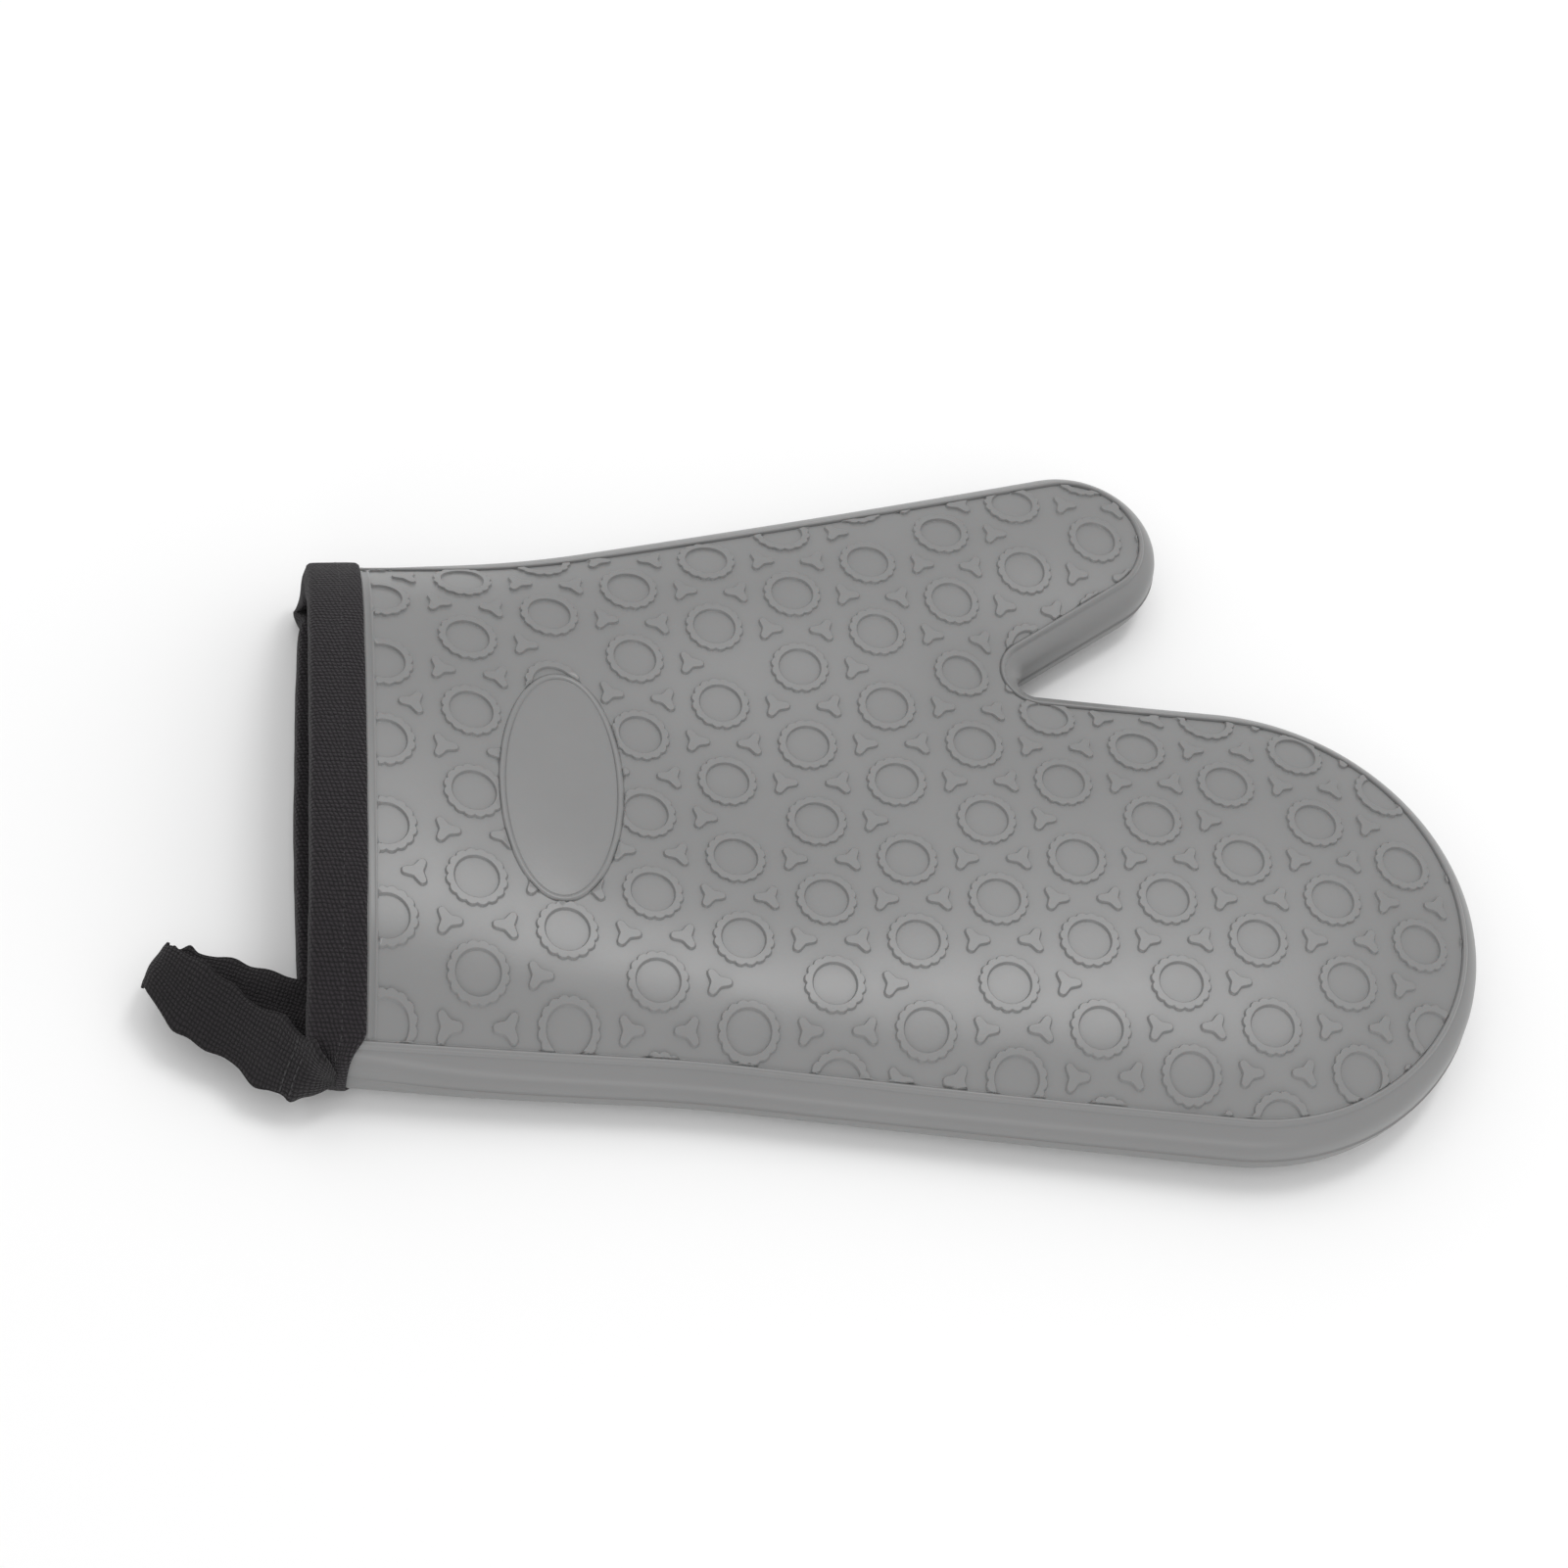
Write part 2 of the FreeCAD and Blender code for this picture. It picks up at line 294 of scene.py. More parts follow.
def relief_slope(points, step=0.03):
    across = [relief(points + np.array(d) * step) for d in ((1, 0), (-1, 0), (0, 1), (0, -1))]
    return (across[0] - across[1]) / (2 * step), (across[2] - across[3]) / (2 * step)


# ---------------------------------------------------------------- meshes of the faces


def closed(count):
    return [(k, (k + 1) % count) for k in range(count)]


def opened(count):
    return [(k, k + 1) for k in range(count - 1)]


class Plan:
    """Points and edges of a flat pattern that becomes a triangle mesh."""

    def __init__(self):
        self.points = []
        self.edges = []

    def add(self, points, edges=(), keep=None):
        """Adds points with edges between them, leaving out those that keep() refuses."""
        points = np.asarray(points, float)
        kept = np.ones(len(points), bool) if keep is None else keep(points)
        place = np.cumsum(kept) - 1 + len(self.points)
        self.points.extend(points[kept].tolist())
        self.edges.extend((int(place[a]), int(place[b])) for a, b in edges if kept[a] and kept[b])

    def triangles(self):
        """Points and triangles of the mesh, and the number each given point has in it."""
        flat = [Vector(p) for p in self.points]
        points, _, faces, origin, _, _ = delaunay_2d_cdt(flat, self.edges, [], 1, 1e-5)
        number = np.zeros(len(flat), int)
        for new, olds in enumerate(origin):
            for old in olds:
                number[old] = new
        return np.array([tuple(p) for p in points]), np.array(faces), number


def polar(centre, radius, angle):
    return centre + np.stack((radius * np.cos(angle), radius * np.sin(angle)), axis=1)


def add_pattern(plan, slopes, ring_steps, mark_turns):
    """Loops along both sides of every moulded edge. slopes are their places across it."""
    def field(points):
        depth, oval = inside_distance(points), plaque_depth(points)
        return (depth > BEAD_HALF + 0.1) & (oval < 0.0) & (points[:, 0] > PATTERN_START + RIB_HALF)

    outer = np.arange(LOBES * ring_steps) * (2 * math.pi / (LOBES * ring_steps))
    inner = np.arange(36) * (math.pi / 18)
    turns = np.radians(mark_turns)
    turns = np.concatenate([turns + k * 2 * math.pi / 3 for k in range(3)])
    for centre in RINGS:
        for slope in slopes:
            for angle, radius in ((outer, ring_rim(outer) - slope), (inner, RING_HOLE + slope + 0 * inner)):
                plan.add(polar(centre, radius, angle), closed(len(angle)), field)
        plan.add([centre], (), field)
        plan.add(polar(centre, 2.6 + 0 * inner[::6], inner[::6]), (), field)
    for x, y, turn in MARKS:
        rim, slant = mark_rim(turns)
        for slope in slopes:
            loop = polar(np.array((x, y)), rim - slope * slant, turns + turn)
            plan.add(loop, closed(len(turns)), field)
        plan.add([(x, y)], (), field)


def add_fill(plan, spacing, depth):
    """Even points over the face, clear of the pattern."""
    xs = np.arange(CUFF_X + spacing / 2, 165.0, spacing)
    ys = np.arange(-95.0, 100.0, spacing)
    points = np.array([(x, y) for x in xs for y in ys])
    points = points[inside_distance(points) > depth]
    rings = np.sqrt(((points[:, None] - RINGS[None]) ** 2).sum(2)).min(1)
    marks = np.sqrt(((points[:, None] - MARKS[None, :, :2]) ** 2).sum(2)).min(1)
    plan.add(points[(rings > RING_RADIUS + 0.8) & (marks > 3.8)])


def face_plan(rim, spacing, detail):
    """Mesh of one face inside the edge at offset rim. detail is "fine", "plain" or None for no pattern.

    The plan edge comes first in it, and then the cuff's line between its ends."""
    plan = Plan()
    border = edge(rim, spacing)
    width = border[0, 1] - border[-1, 1]
    count = max(8, round(abs(width) / spacing))
    cuff = border[-1] + (border[0] - border[-1]) * (np.arange(1, count)[:, None] / count)
    ring = np.vstack((border, cuff))
    plan.add(ring, closed(len(ring)))
    if detail:
        for offset in (1.0, 0.75, 0.6, 0.3, 0.0, -0.3, -0.6, -0.75, -1.05):
            if offset < rim:
                loop = edge(offset, spacing)
                plan.add(loop, opened(len(loop)))
        for slope in (-0.3, 0.0, 0.2, 0.75, 1.3, 1.5, 1.8):
            angle = np.arange(110) * (2 * math.pi / 110)
            loop = np.stack((np.cos(angle), np.sin(angle)), 1) * (np.array(PLAQUE_HALF) - slope)
            cosine, sine = math.cos(PLAQUE_LEAN), math.sin(PLAQUE_LEAN)
            plan.add(loop @ np.array(((cosine, sine), (-sine, cosine))) + PLAQUE, closed(len(loop)))
        low, high = border[0, 1] + 2.0, border[-1, 1] - 2.0
        side = np.array((-RIB_HALF - 0.08, SOFT_EDGE - RIB_HALF, RIB_HALF - SOFT_EDGE, RIB_HALF + 0.08))
        for x in np.concatenate((side - RIB_GAP, side + RIB_GAP)):
            loop = np.stack((np.full(60, RIB_X + x), np.linspace(low, high, 60)), 1)
            plan.add(loop, opened(60), lambda p: inside_distance(p) > BEAD_HALF)
        half = SOFT_EDGE / 2
        if detail == "fine":
            across = (-half - 0.1, -half + 0.04, half - 0.04, half + 0.1)
            add_pattern(plan, across, 4, (-60, -38, -24, -15, -8, 0, 8, 15, 24, 38))
        else:
            add_pattern(plan, (-half - 0.05, half + 0.05), 4, (-60, -25, -10, 0, 10, 25))
    add_fill(plan, 4.0 if detail else spacing * 1.4, 2.4 - rim if detail else spacing)
    points, triangles, number = plan.triangles()
    a, b, c = points[triangles[:, 0]], points[triangles[:, 1]], points[triangles[:, 2]]
    area = (b[:, 0] - a[:, 0]) * (c[:, 1] - a[:, 1]) - (b[:, 1] - a[:, 1]) * (c[:, 0] - a[:, 0])
    triangles = np.where((area > 0)[:, None], triangles, triangles[:, ::-1])
    return points, triangles, number[:len(border)], number[len(border):len(ring)]


def membrane(points, triangles, fixed, push, reach):
    """Height of a skin that is held at its fixed points and puffed up to push over a distance reach."""
    corner = points[triangles]
    opposite = np.stack([corner[:, (k + 2) % 3] - corner[:, (k + 1) % 3] for k in range(3)], 1)
    area = np.abs(opposite[:, 0, 0] * opposite[:, 1, 1] - opposite[:, 0, 1] * opposite[:, 1, 0]) / 2 + 1e-7
    size = len(points)
    mass = np.bincount(triangles.ravel(), np.repeat(area / 3, 3), size)
    rows, columns, values = [], [], []
    for i in range(3):
        for j in range(3):
            rows.append(triangles[:, i])
            columns.append(triangles[:, j])
            values.append(reach**2 * (opposite[:, i] * opposite[:, j]).sum(1) / (4 * area))
    rows, columns, values = map(np.concatenate, (rows, columns, values))
    diagonal = mass + np.bincount(rows[rows == columns], values[rows == columns], size)
    free = (diagonal > 0.0).astype(float)
    free[fixed] = 0.0
    diagonal = np.maximum(diagonal, 1e-9)

    def apply(height):
        return (mass * height + np.bincount(rows, values * height[columns], size)) * free

    height = np.zeros(size)
    left = mass * push * free
    scaled = left / diagonal
    heading, power = scaled.copy(), left @ scaled
    for _ in range(600):
        image = apply(heading)
        step = power / (heading @ image)
        height += step * heading
        left -= step * image
        scaled = left / diagonal
        after = left @ scaled
        if after < 1e-10 * size:
            break
        heading = scaled + heading * (after / power)
        power = after
    return height


def crown(points, triangles, fixed):
    """Height of the puffed face over its edge."""
    from_cuff = np.clip(points[:, 0] - RIB_X, 0.0, None)
    push = CROWN * (1.0 + np.exp(-from_cuff / CUFF_REACH))
    height = membrane(points, triangles, fixed, push, CROWN_REACH)
    away = np.clip(inside_distance(points) - inside_distance(points)[fixed].min(), 0.0, None)
    loose = 1.0 - np.exp(-away / 12.0)
    for x, y, wide, long, rise in SAGS:
        away = ((points[:, 0] - x) / wide) ** 2 + ((points[:, 1] - y) / long) ** 2
        height = height + rise * loose * np.exp(-away / 2)
    return height


def bow(points):
    return BOW * points[:, 0] ** 2


def underside(points):
    """Height of the plain lower face, which lies on the floor and lifts at the cuff's lip."""
    depth = np.clip(inside_distance(points), 0.0, None)
    from_cuff = np.clip(points[:, 0] - CUFF_X, 0.0, None)
    lip = CUFF_LIFT * np.exp(-from_cuff / 26.0) * (1.0 - np.exp(-depth / 22.0))
    return FLOOR_GAP + 0.3 * bow(points) * (points[:, 0] > 0) + lip


def bulge(points):
    """How far the side wall stands out, less near the cuff, where the binding holds it in."""
    return WALL_BULGE * (1.0 - WALL_PINCH * np.exp(-((points[:, 0] - CUFF_X) / 24.0) ** 2))


def edge_outwards(points):
    """Unit directions out of the plan edge along a run of its points."""
    heading = np.gradient(points, axis=0)
    return np.column_stack((heading[:, 1], -heading[:, 0])) / np.linalg.norm(heading, axis=1, keepdims=True)


def wall_ring(rim, out, spacing):
    """Points along the side wall at a share of its bulge."""
    ring = edge(rim, spacing)
    return ring + edge_outwards(ring) * ((bulge(ring) - LEDGE) * out)[:, None]


def calm_slopes(points, height, spread=5.0, cell=6.0):
    """Slopes of a height along x and y, from a plane fitted around each point to one point per cell."""
    _, chosen = np.unique(np.floor(points / cell).astype(int), axis=0, return_index=True)
    near, level = points[chosen], height[chosen]
    basis = np.column_stack((np.ones(len(near)), near))
    terms = np.column_stack((basis, basis[:, 1:] * basis[:, 1:2], basis[:, 2] ** 2, basis * level[:, None]))
    slopes = []
    for part in np.array_split(points, 1 + len(points) // 2000):
        gap = ((part[:, None] - near[None]) ** 2).sum(2)
        one, x, y, xx, xy, yy, h, xh, yh = (np.exp(-gap / (2 * spread**2)) @ terms).T
        matrix = np.array(((one, x, y), (x, xx, xy), (y, xy, yy))).transpose(2, 0, 1)
        slopes.append(np.linalg.solve(matrix, np.column_stack((h, xh, yh))[:, :, None])[:, 1:, 0])
    return np.vstack(slopes).T


def wall_levels(count, line):
    """Shares of the side wall's height, close together at the parting line."""
    level = np.concatenate((np.linspace(0, 0.45, count), (0.485, 0.5, 0.515), np.linspace(0.55, 1, count)))
    stand = 1.0 - np.abs(2 * level - 1) ** WALL_FULLNESS
    return level[1:-1], (stand + (np.abs(level - 0.5) < 0.001) * line)[1:-1]


def skin(inset, spacing, upper_detail, lower_detail):
    """One pouch skin, open at the cuff: points, faces, normals and upper cuff line.

    A normal is zero where Blender works it out."""
    rim = LEDGE - inset if upper_detail else -inset
    points, normals, faces, borders, cuffs = [], [], [], [], []
    start = 0
    for detail, up in ((upper_detail, 1.0), (lower_detail, -1.0)):
        flat, triangles, border, cuff = face_plan(rim, spacing, detail)
        outside = inside_distance(flat) < 1e-3
        if up > 0:
            fixed = np.where(outside)[0] if upper_detail else border
            base = EDGE_HEIGHT + bow(flat) + crown(flat, triangles, fixed) - inset
        else:
            base = underside(flat) + inset
        normal = np.zeros((len(flat), 3))
        height = base
        if detail:
            drop = 0.6 * np.clip(-inside_distance(flat) / LEDGE, 0.0, 1.0)
            height = base + up * (relief(flat) - drop)
            rx, ry = relief_slope(flat)
            gx, gy = calm_slopes(flat, base)
            normal = np.stack((-(gx * up + rx), -(gy * up + ry), np.ones(len(flat))), 1)
            normal[:, 2] *= up
            normal[border] = 0.0
            normal[cuff] = 0.0
            normal[outside] = 0.0
        points.append(np.column_stack((flat, height)))
        normals.append(normal)
        faces.extend(((triangles if up > 0 else triangles[:, ::-1]) + start).tolist())
        borders.append(border + start)
        cuffs.append(cuff + start)
        start += len(flat)
    top, bottom = points[0][borders[0]], points[1][borders[1] - len(points[0])]
    level, stand = wall_levels(9, 0.09 if upper_detail else 0.0)
    above = borders[0]
    columns = len(above)
    for share, out in zip(level, stand):
        ring = wall_ring(rim, out, spacing)
        z = top[:, 2] + (bottom[:, 2] - top[:, 2]) * share
        points.append(np.column_stack((ring, z)))
        normals.append(np.zeros((columns, 3)))
        below = np.arange(start, start + columns)
        start += columns
        for k in range(columns - 1):
            faces.append((above[k], below[k], below[k + 1], above[k + 1]))
        above = below
    below = borders[1]
    for k in range(columns - 1):
        faces.append((above[k], below[k], below[k + 1], above[k + 1]))
    faces = [tuple(int(v) for v in f) for f in faces]
    return np.vstack(points), faces, np.vstack(normals), cuffs[0]


# ---------------------------------------------------------------- objects


def put_in_scene(name, data):
    piece = bpy.data.objects.new(name, data)
    bpy.context.scene.collection.objects.link(piece)
    return piece


def new_object(name, points, faces, material):
    mesh = bpy.data.meshes.new(name)
    mesh.from_pydata([tuple(p) for p in points], [], faces)
    mesh.materials.append(material)
    mesh.polygons.foreach_set("use_smooth", [True] * len(mesh.polygons))
    mesh.update()
    return put_in_scene(name, mesh)


def mesh_from(made, name, material):
    """Turns a bmesh into a mesh and frees it."""
    mesh = bpy.data.meshes.new(name)
    made.to_mesh(mesh)
    made.free()
    mesh.materials.append(material)
    return mesh


def node(tree, kind, inputs=None, **settings):
    made = tree.nodes.new(kind)
    for key, value in settings.items():
        setattr(made, key, value)
    for key, value in (inputs or {}).items():
        if isinstance(value, bpy.types.NodeSocket):
            tree.links.new(value, made.inputs[key])
        else:
            made.inputs[key].default_value = value
    return made


def new_material(name):
    material = bpy.data.materials.new(name)
    material.use_nodes = True
    tree = material.node_tree
    return material, tree, tree.nodes["Principled BSDF"]


def noise(tree, place, scale, detail, roughness=0.5):
    inputs = {"Vector": place, "Scale": scale, "Detail": detail, "Roughness": roughness}
    return node(tree, "ShaderNodeTexNoise", inputs).outputs


def blend_colours(tree, shader, share, dark, light):
    """Colours the shader between two colours."""
    tint = node(tree, "ShaderNodeMix", {"Factor": share}, data_type="RGBA")
    tint.inputs["A"].default_value = dark
    tint.inputs["B"].default_value = light
    tree.links.new(tint.outputs["Result"], shader.inputs["Base Color"])


def roughen(tree, shader, height, strength, distance):
    """Adds fine bump to the shader."""
    inputs = {"Height": height, "Strength": strength, "Distance": distance}
    bump = node(tree, "ShaderNodeBump", inputs)
    tree.links.new(bump.outputs["Normal"], shader.inputs["Normal"])


def arithmetic(tree, operation, *values):
    return node(tree, "ShaderNodeMath", dict(enumerate(values)), operation=operation).outputs[0]


def grey(value):
    """Linear colour of an sRGB grey level out of 255."""
    share = value / 255
    linear = share / 12.92 if share <= 0.04045 else ((share + 0.055) / 1.055) ** 2.4
    return (linear, linear, linear, 1.0)


def silicone_material():
    material, tree, shader = new_material("silicone")
    place = node(tree, "ShaderNodeTexCoord").outputs["Object"]
    cloudy = noise(tree, place, 22.0, 4.0, 0.6)["Fac"]
    blend_colours(tree, shader, cloudy, SILICONE_DARK, SILICONE_LIGHT)
    haze = noise(tree, place, 90.0, 3.0)["Fac"]
    rough = node(tree, "ShaderNodeMapRange", {"Value": haze, "To Min": 0.28, "To Max": 0.36})
    tree.links.new(rough.outputs["Result"], shader.inputs["Roughness"])
    roughen(tree, shader, noise(tree, place, 1400.0, 2.0)["Fac"], 0.12, 0.0001)
    shader.inputs["Specular IOR Level"].default_value = 0.45
    shader.inputs["Subsurface Weight"].default_value = 0.05
    shader.inputs["Subsurface Scale"].default_value = 0.002
    return material


def woven_material(name, base, light, pitch, twill=False):
    """Cloth of threads pitch metres apart, woven from the piece's UV map, which is in metres, and coloured
    with painted shade in the weave's hollows and painted sheen on its raised threads.
    """
    material, tree, shader = new_material(name)
    uv = node(tree, "ShaderNodeUVMap", uv_map="cloth").outputs["UV"]
    place = node(tree, "ShaderNodeTexCoord").outputs["Object"]
    wobble = noise(tree, uv, 0.3 / pitch, 3.0)["Color"]
    inputs = {0: wobble, 1: (pitch, pitch, 0.0)}
    shift = node(tree, "ShaderNodeVectorMath", inputs, operation="MULTIPLY")
    moved = node(tree, "ShaderNodeVectorMath", {0: uv, 1: shift.outputs[0]}, operation="ADD")
    split = node(tree, "ShaderNodeSeparateXYZ", {0: moved.outputs[0]}).outputs
    waves = []
    for axis, other, lean in (("X", "Y", 0.0), ("Y", "X", 0.35 if twill else 0.0)):
        along = arithmetic(tree, "MULTIPLY_ADD", split[other], lean, split[axis])
        turns = arithmetic(tree, "MULTIPLY", along, math.pi / pitch)
        waves.append(arithmetic(tree, "SINE", turns))
    knot = arithmetic(tree, "ABSOLUTE", arithmetic(tree, "MULTIPLY", *waves))
    fuzz = noise(tree, place, 1.6 / pitch, 4.0, 0.7)["Fac"]
    height = arithmetic(tree, "MULTIPLY_ADD", fuzz, 1.3, knot)
    roughen(tree, shader, height, 1.0, pitch * 0.4)
    # Painted shade and sheen: the colour goes from base in the weave's hollows to light on its raised
    # threads, following the bump height and its random fuzz.
    weave_shade_and_fuzz = node(tree, "ShaderNodeMapRange", {"Value": height, "From Min": 0.55, "From Max": 1.75})
    blend_colours(tree, shader, weave_shade_and_fuzz.outputs["Result"], base, light)
    shader.inputs["Roughness"].default_value = 0.85
    shader.inputs["Specular IOR Level"].default_value = 0.25
    shader.inputs["Sheen Weight"].default_value = 0.08
    shader.inputs["Sheen Roughness"].default_value = 0.5
    return material


SILICONE_DARK = grey(121)
SILICONE_LIGHT = grey(128)
silicone = silicone_material()
# Near-black tapes: the first colour lies in the weave's hollows as painted shade and the second on the raised
# threads as painted sheen.
binding_cloth = woven_material(
    "binding_tape", (0.003, 0.0026, 0.0032, 1), (0.033, 0.027, 0.032, 1), 0.0010, True
)
loop_cloth = woven_material("loop_tape", (0.002, 0.0018, 0.0021, 1), (0.026, 0.022, 0.025, 1), 0.0009)


def silicone_shell():
    outer, outer_faces, outer_normals, cuff = skin(0.0, 2.0, "fine", "plain")
    inner, inner_faces, _, _ = skin(SHELL_WALL, 5.0, None, None)
    count = len(outer)
    points = to_frame(np.vstack((outer, inner)))
    faces = outer_faces + [tuple(v + count for v in reversed(f)) for f in inner_faces]
    mesh = bmesh.new()
    made = [mesh.verts.new(p) for p in points]
    for face in faces:
        mesh.faces.new([made[v] for v in face])
    bmesh.ops.bridge_loops(mesh, edges=[e for e in mesh.edges if e.is_boundary])
    mesh.verts.index_update()
    built = mesh_from(mesh, "silicone_mitt", silicone)
    built.polygons.foreach_set("use_smooth", [True] * len(built.polygons))
    normals = np.vstack((outer_normals, np.zeros((len(inner), 3))))
    size = np.linalg.norm(normals, axis=1, keepdims=True)
    normals = np.where(size > 0, normals / np.maximum(size, 1e-9), 0.0)
    built.normals_split_custom_set_from_vertices(normals.tolist())
    piece = put_in_scene("silicone_mitt", built)
    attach(piece, "mitt")
    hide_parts("silicone_shell")
    return outer[cuff]


cuff_line = silicone_shell()


# ---------------------------------------------------------------- cuff binding

TAPE = 1.2
LINER = 5.8                   # how deep the hand space lies under the shell's surface
rng = np.random.default_rng(7)


def ripple(count, waves, size):
    """Gentle closed unevenness: a few sine waves of random phase round a loop."""
    turn = np.arange(count) * (2 * math.pi / count)
    total = sum(math.sqrt(1.0 / w) * np.sin(w * turn + rng.uniform(0, 6.28)) for w in waves)
    return size * total / len(waves) ** 0.5


def cuff_crown():
    """The puffed face's height over its edge along the mouth, from share -1 at the low end to 1."""
    share = (cuff_line[:, 1] - cuff_line[:, 1].min()) / np.ptp(cuff_line[:, 1]) * 2 - 1
    order = np.argsort(share)
    return share[order], (cuff_line[:, 2] - EDGE_HEIGHT - bow(cuff_line))[order]


def mouth(x, stand, count=360):
    """Closed section of the shell across x, stood off outwards, as (y, z) points."""
    ends = edge_runs(0.0)
    low = ends[0][1] + (ends[0][2] - ends[0][1]) * ((x - ends[0][1][0]) / (ends[0][2] - ends[0][1])[0])
    high = ends[-1][2] + (ends[-1][1] - ends[-1][2]) * ((x - ends[-1][2][0]) / (ends[-1][1] - ends[-1][2])[0])
    share = np.linspace(1, -1, 90)
    y = (low[1] + high[1]) / 2 + (high[1] - low[1]) / 2 * share
    crest = EDGE_HEIGHT + BOW * x * x + np.interp(share, *CUFF_CROWN)
    under = underside(np.column_stack((np.full(90, x), y)))
    level = np.linspace(0, 1, 16)[1:-1]
    stood = bulge(np.array([[x, 0.0]])) * (1.0 - np.abs(2 * level - 1) ** WALL_FULLNESS)
    walls = []
    for k, sign in ((-1, -1), (0, 1)):
        walls.append((y[k] + sign * stood, crest[k] + (under[k] - crest[k]) * level))
    ys = np.concatenate((y, walls[0][0], y[::-1], walls[1][0][::-1]))
    zs = np.concatenate((crest, walls[0][1], under[::-1], walls[1][1][::-1]))
    loop = np.column_stack((ys, zs))
    for _ in range(2):
        steps = np.linalg.norm(np.roll(loop, -1, 0) - loop, axis=1)
        along = np.concatenate(([0], np.cumsum(steps)))
        around = np.vstack((loop, loop[:1]))
        want = np.arange(count) / count * along[-1]
        loop = np.column_stack([np.interp(want, along, around[:, k]) for k in range(2)])
        for _ in range(10):
            loop = (np.roll(loop, 1, 0) + 2 * loop + np.roll(loop, -1, 0)) / 4
    heading = np.roll(loop, -1, 0) - np.roll(loop, 1, 0)
    normal = np.column_stack((heading[:, 1], -heading[:, 0])) / np.linalg.norm(heading, axis=1, keepdims=True)
    middle = loop.mean(0)
    if ((loop - middle) * normal).sum() < 0:
        normal = -normal
    moved = loop + normal * stand
    for _ in range(60):
        ahead = ((np.roll(moved, -1, 0) - np.roll(moved, 1, 0)) * heading).sum(1)
        turned = ahead < 0.15 * (heading**2).sum(1)
        if not turned.any():
            break
        turned = turned | np.roll(turned, 2) | np.roll(turned, -2)
        moved = np.where(turned[:, None], (np.roll(moved, 2, 0) + np.roll(moved, -2, 0)) / 2, moved)
    return moved


def cloth_uv(mesh, values):
    """Writes metres along and across the cloth, one pair for each corner of each face."""
    layer = mesh.uv_layers.new(name="cloth")
    layer.data.foreach_set("uv", np.asarray(values, np.float32).ravel())


def tube_object(name, grid, uv, material):
    """Closed mesh from a grid of points that closes on itself both ways."""
    rows, columns = grid.shape[:2]
    faces, corners = [], []
    for r in range(rows):
        for c in range(columns):
            r2, c2 = (r + 1) % rows, (c + 1) % columns
            faces.append((r * columns + c, r * columns + c2, r2 * columns + c2, r2 * columns + c))
            corners.extend((uv[r][c], uv[r][c + 1], uv[r + 1][c + 1], uv[r + 1][c]))
    piece = new_object(name, to_frame(grid.reshape(-1, 3)), faces, material)
    cloth_uv(piece.data, corners)
    return piece


def cuff_binding():
    inner = -(LINER + TAPE)
    profile = [
        (-98.3, 0.15), (-97.8, 0.45), (-97.8, 0.95), (-98.3, 1.3), (-100.0, 1.38), (-103.0, 1.42),
        (-106.0, 1.42), (-108.2, 1.4), (-109.3, 1.3), (-109.9, 0.85), (-110.15, 0.1), (-110.35, -1.4),
        (-110.4, -2.8), (-110.35, -4.2), (-110.2, -5.6), (-109.9, -6.5), (-109.3, inner + 0.05),
        (-108.2, inner), (-105.0, inner), (-101.0, inner), (-98.4, inner),
        (-97.8, inner + 0.35), (-97.8, inner + 0.8),
        (-98.4, inner + 1.15), (-102.0, inner + 1.15), (-106.0, inner + 1.15), (-108.8, inner + 1.2),
        (-109.5, inner + 1.8), (-109.7, -2.8), (-109.5, -0.4), (-108.8, 0.15), (-105.0, 0.15), (-101.0, 0.15),
    ]
    count = 360
    edge_wave = ripple(count, (3, 5, 8, 13, 21), 0.16)
    fold_wave = ripple(count, (2, 4, 7, 11, 17, 29), 0.26)
    swell = ripple(count, (6, 9, 15, 23), 0.12)
    grid = np.zeros((count, len(profile), 3))
    for column, (x, stand) in enumerate(profile):
        front = np.clip((-98.0 - x) / 12.0, 0.0, 1.0)
        shape = mouth(max(x, -110.9), stand)
        grid[:, column, 0] = x + edge_wave * (1 - front) + fold_wave * front
        grid[:, column, 1:] = shape
        grid[:, column, 2] += swell * np.sign(grid[:, column, 2] - 12.0) * (stand > 0)
    middle = grid[:, 4]
    across = (middle[:, 1] - middle[:, 1].mean()) / (np.ptp(middle[:, 1]) / 2)
    lower = smooth((17.0 - middle[:, 2]) / 6.0)
    tuck = 3.4 * smooth((-across - 0.92) / 0.08) + 1.6 * smooth((across - 0.93) / 0.07)
    legs = smooth((grid[:, :, 0] + 106.0) / 7.0)
    grid[:, :, 0] -= legs * tuck[:, None]
    corner = 1.5 * np.exp(-(((across - 0.93) / 0.05) ** 2)) - 0.9 * np.exp(-(((across - 0.83) / 0.04) ** 2))
    grid[:, :, 0] -= (lower * (0.3 + 2.0 * np.clip(1.0 - across**2, 0.0, 1.0) + corner))[:, None]
    grid[:, :, 2] = np.maximum(grid[:, :, 2], 0.05)
    path = np.array(profile + profile[:1])
    across = np.concatenate(([0], np.cumsum(np.linalg.norm(np.diff(path, axis=0), axis=1)))) * MM
    middle = grid[:, 5]
    steps = np.linalg.norm(np.roll(middle, -1, 0) - middle, axis=1)
    along = np.concatenate(([0], np.cumsum(steps))) * MM
    uv = [[(a, v) for v in across] for a in along]
    piece = tube_object("cuff_binding_tape", grid, uv, binding_cloth)
    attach(piece, "mitt")
    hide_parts("cuff_binding")
    return grid


CUFF_CROWN = cuff_crown()
binding_grid = cuff_binding()

# ---------------------------------------------------------------- quilted lining

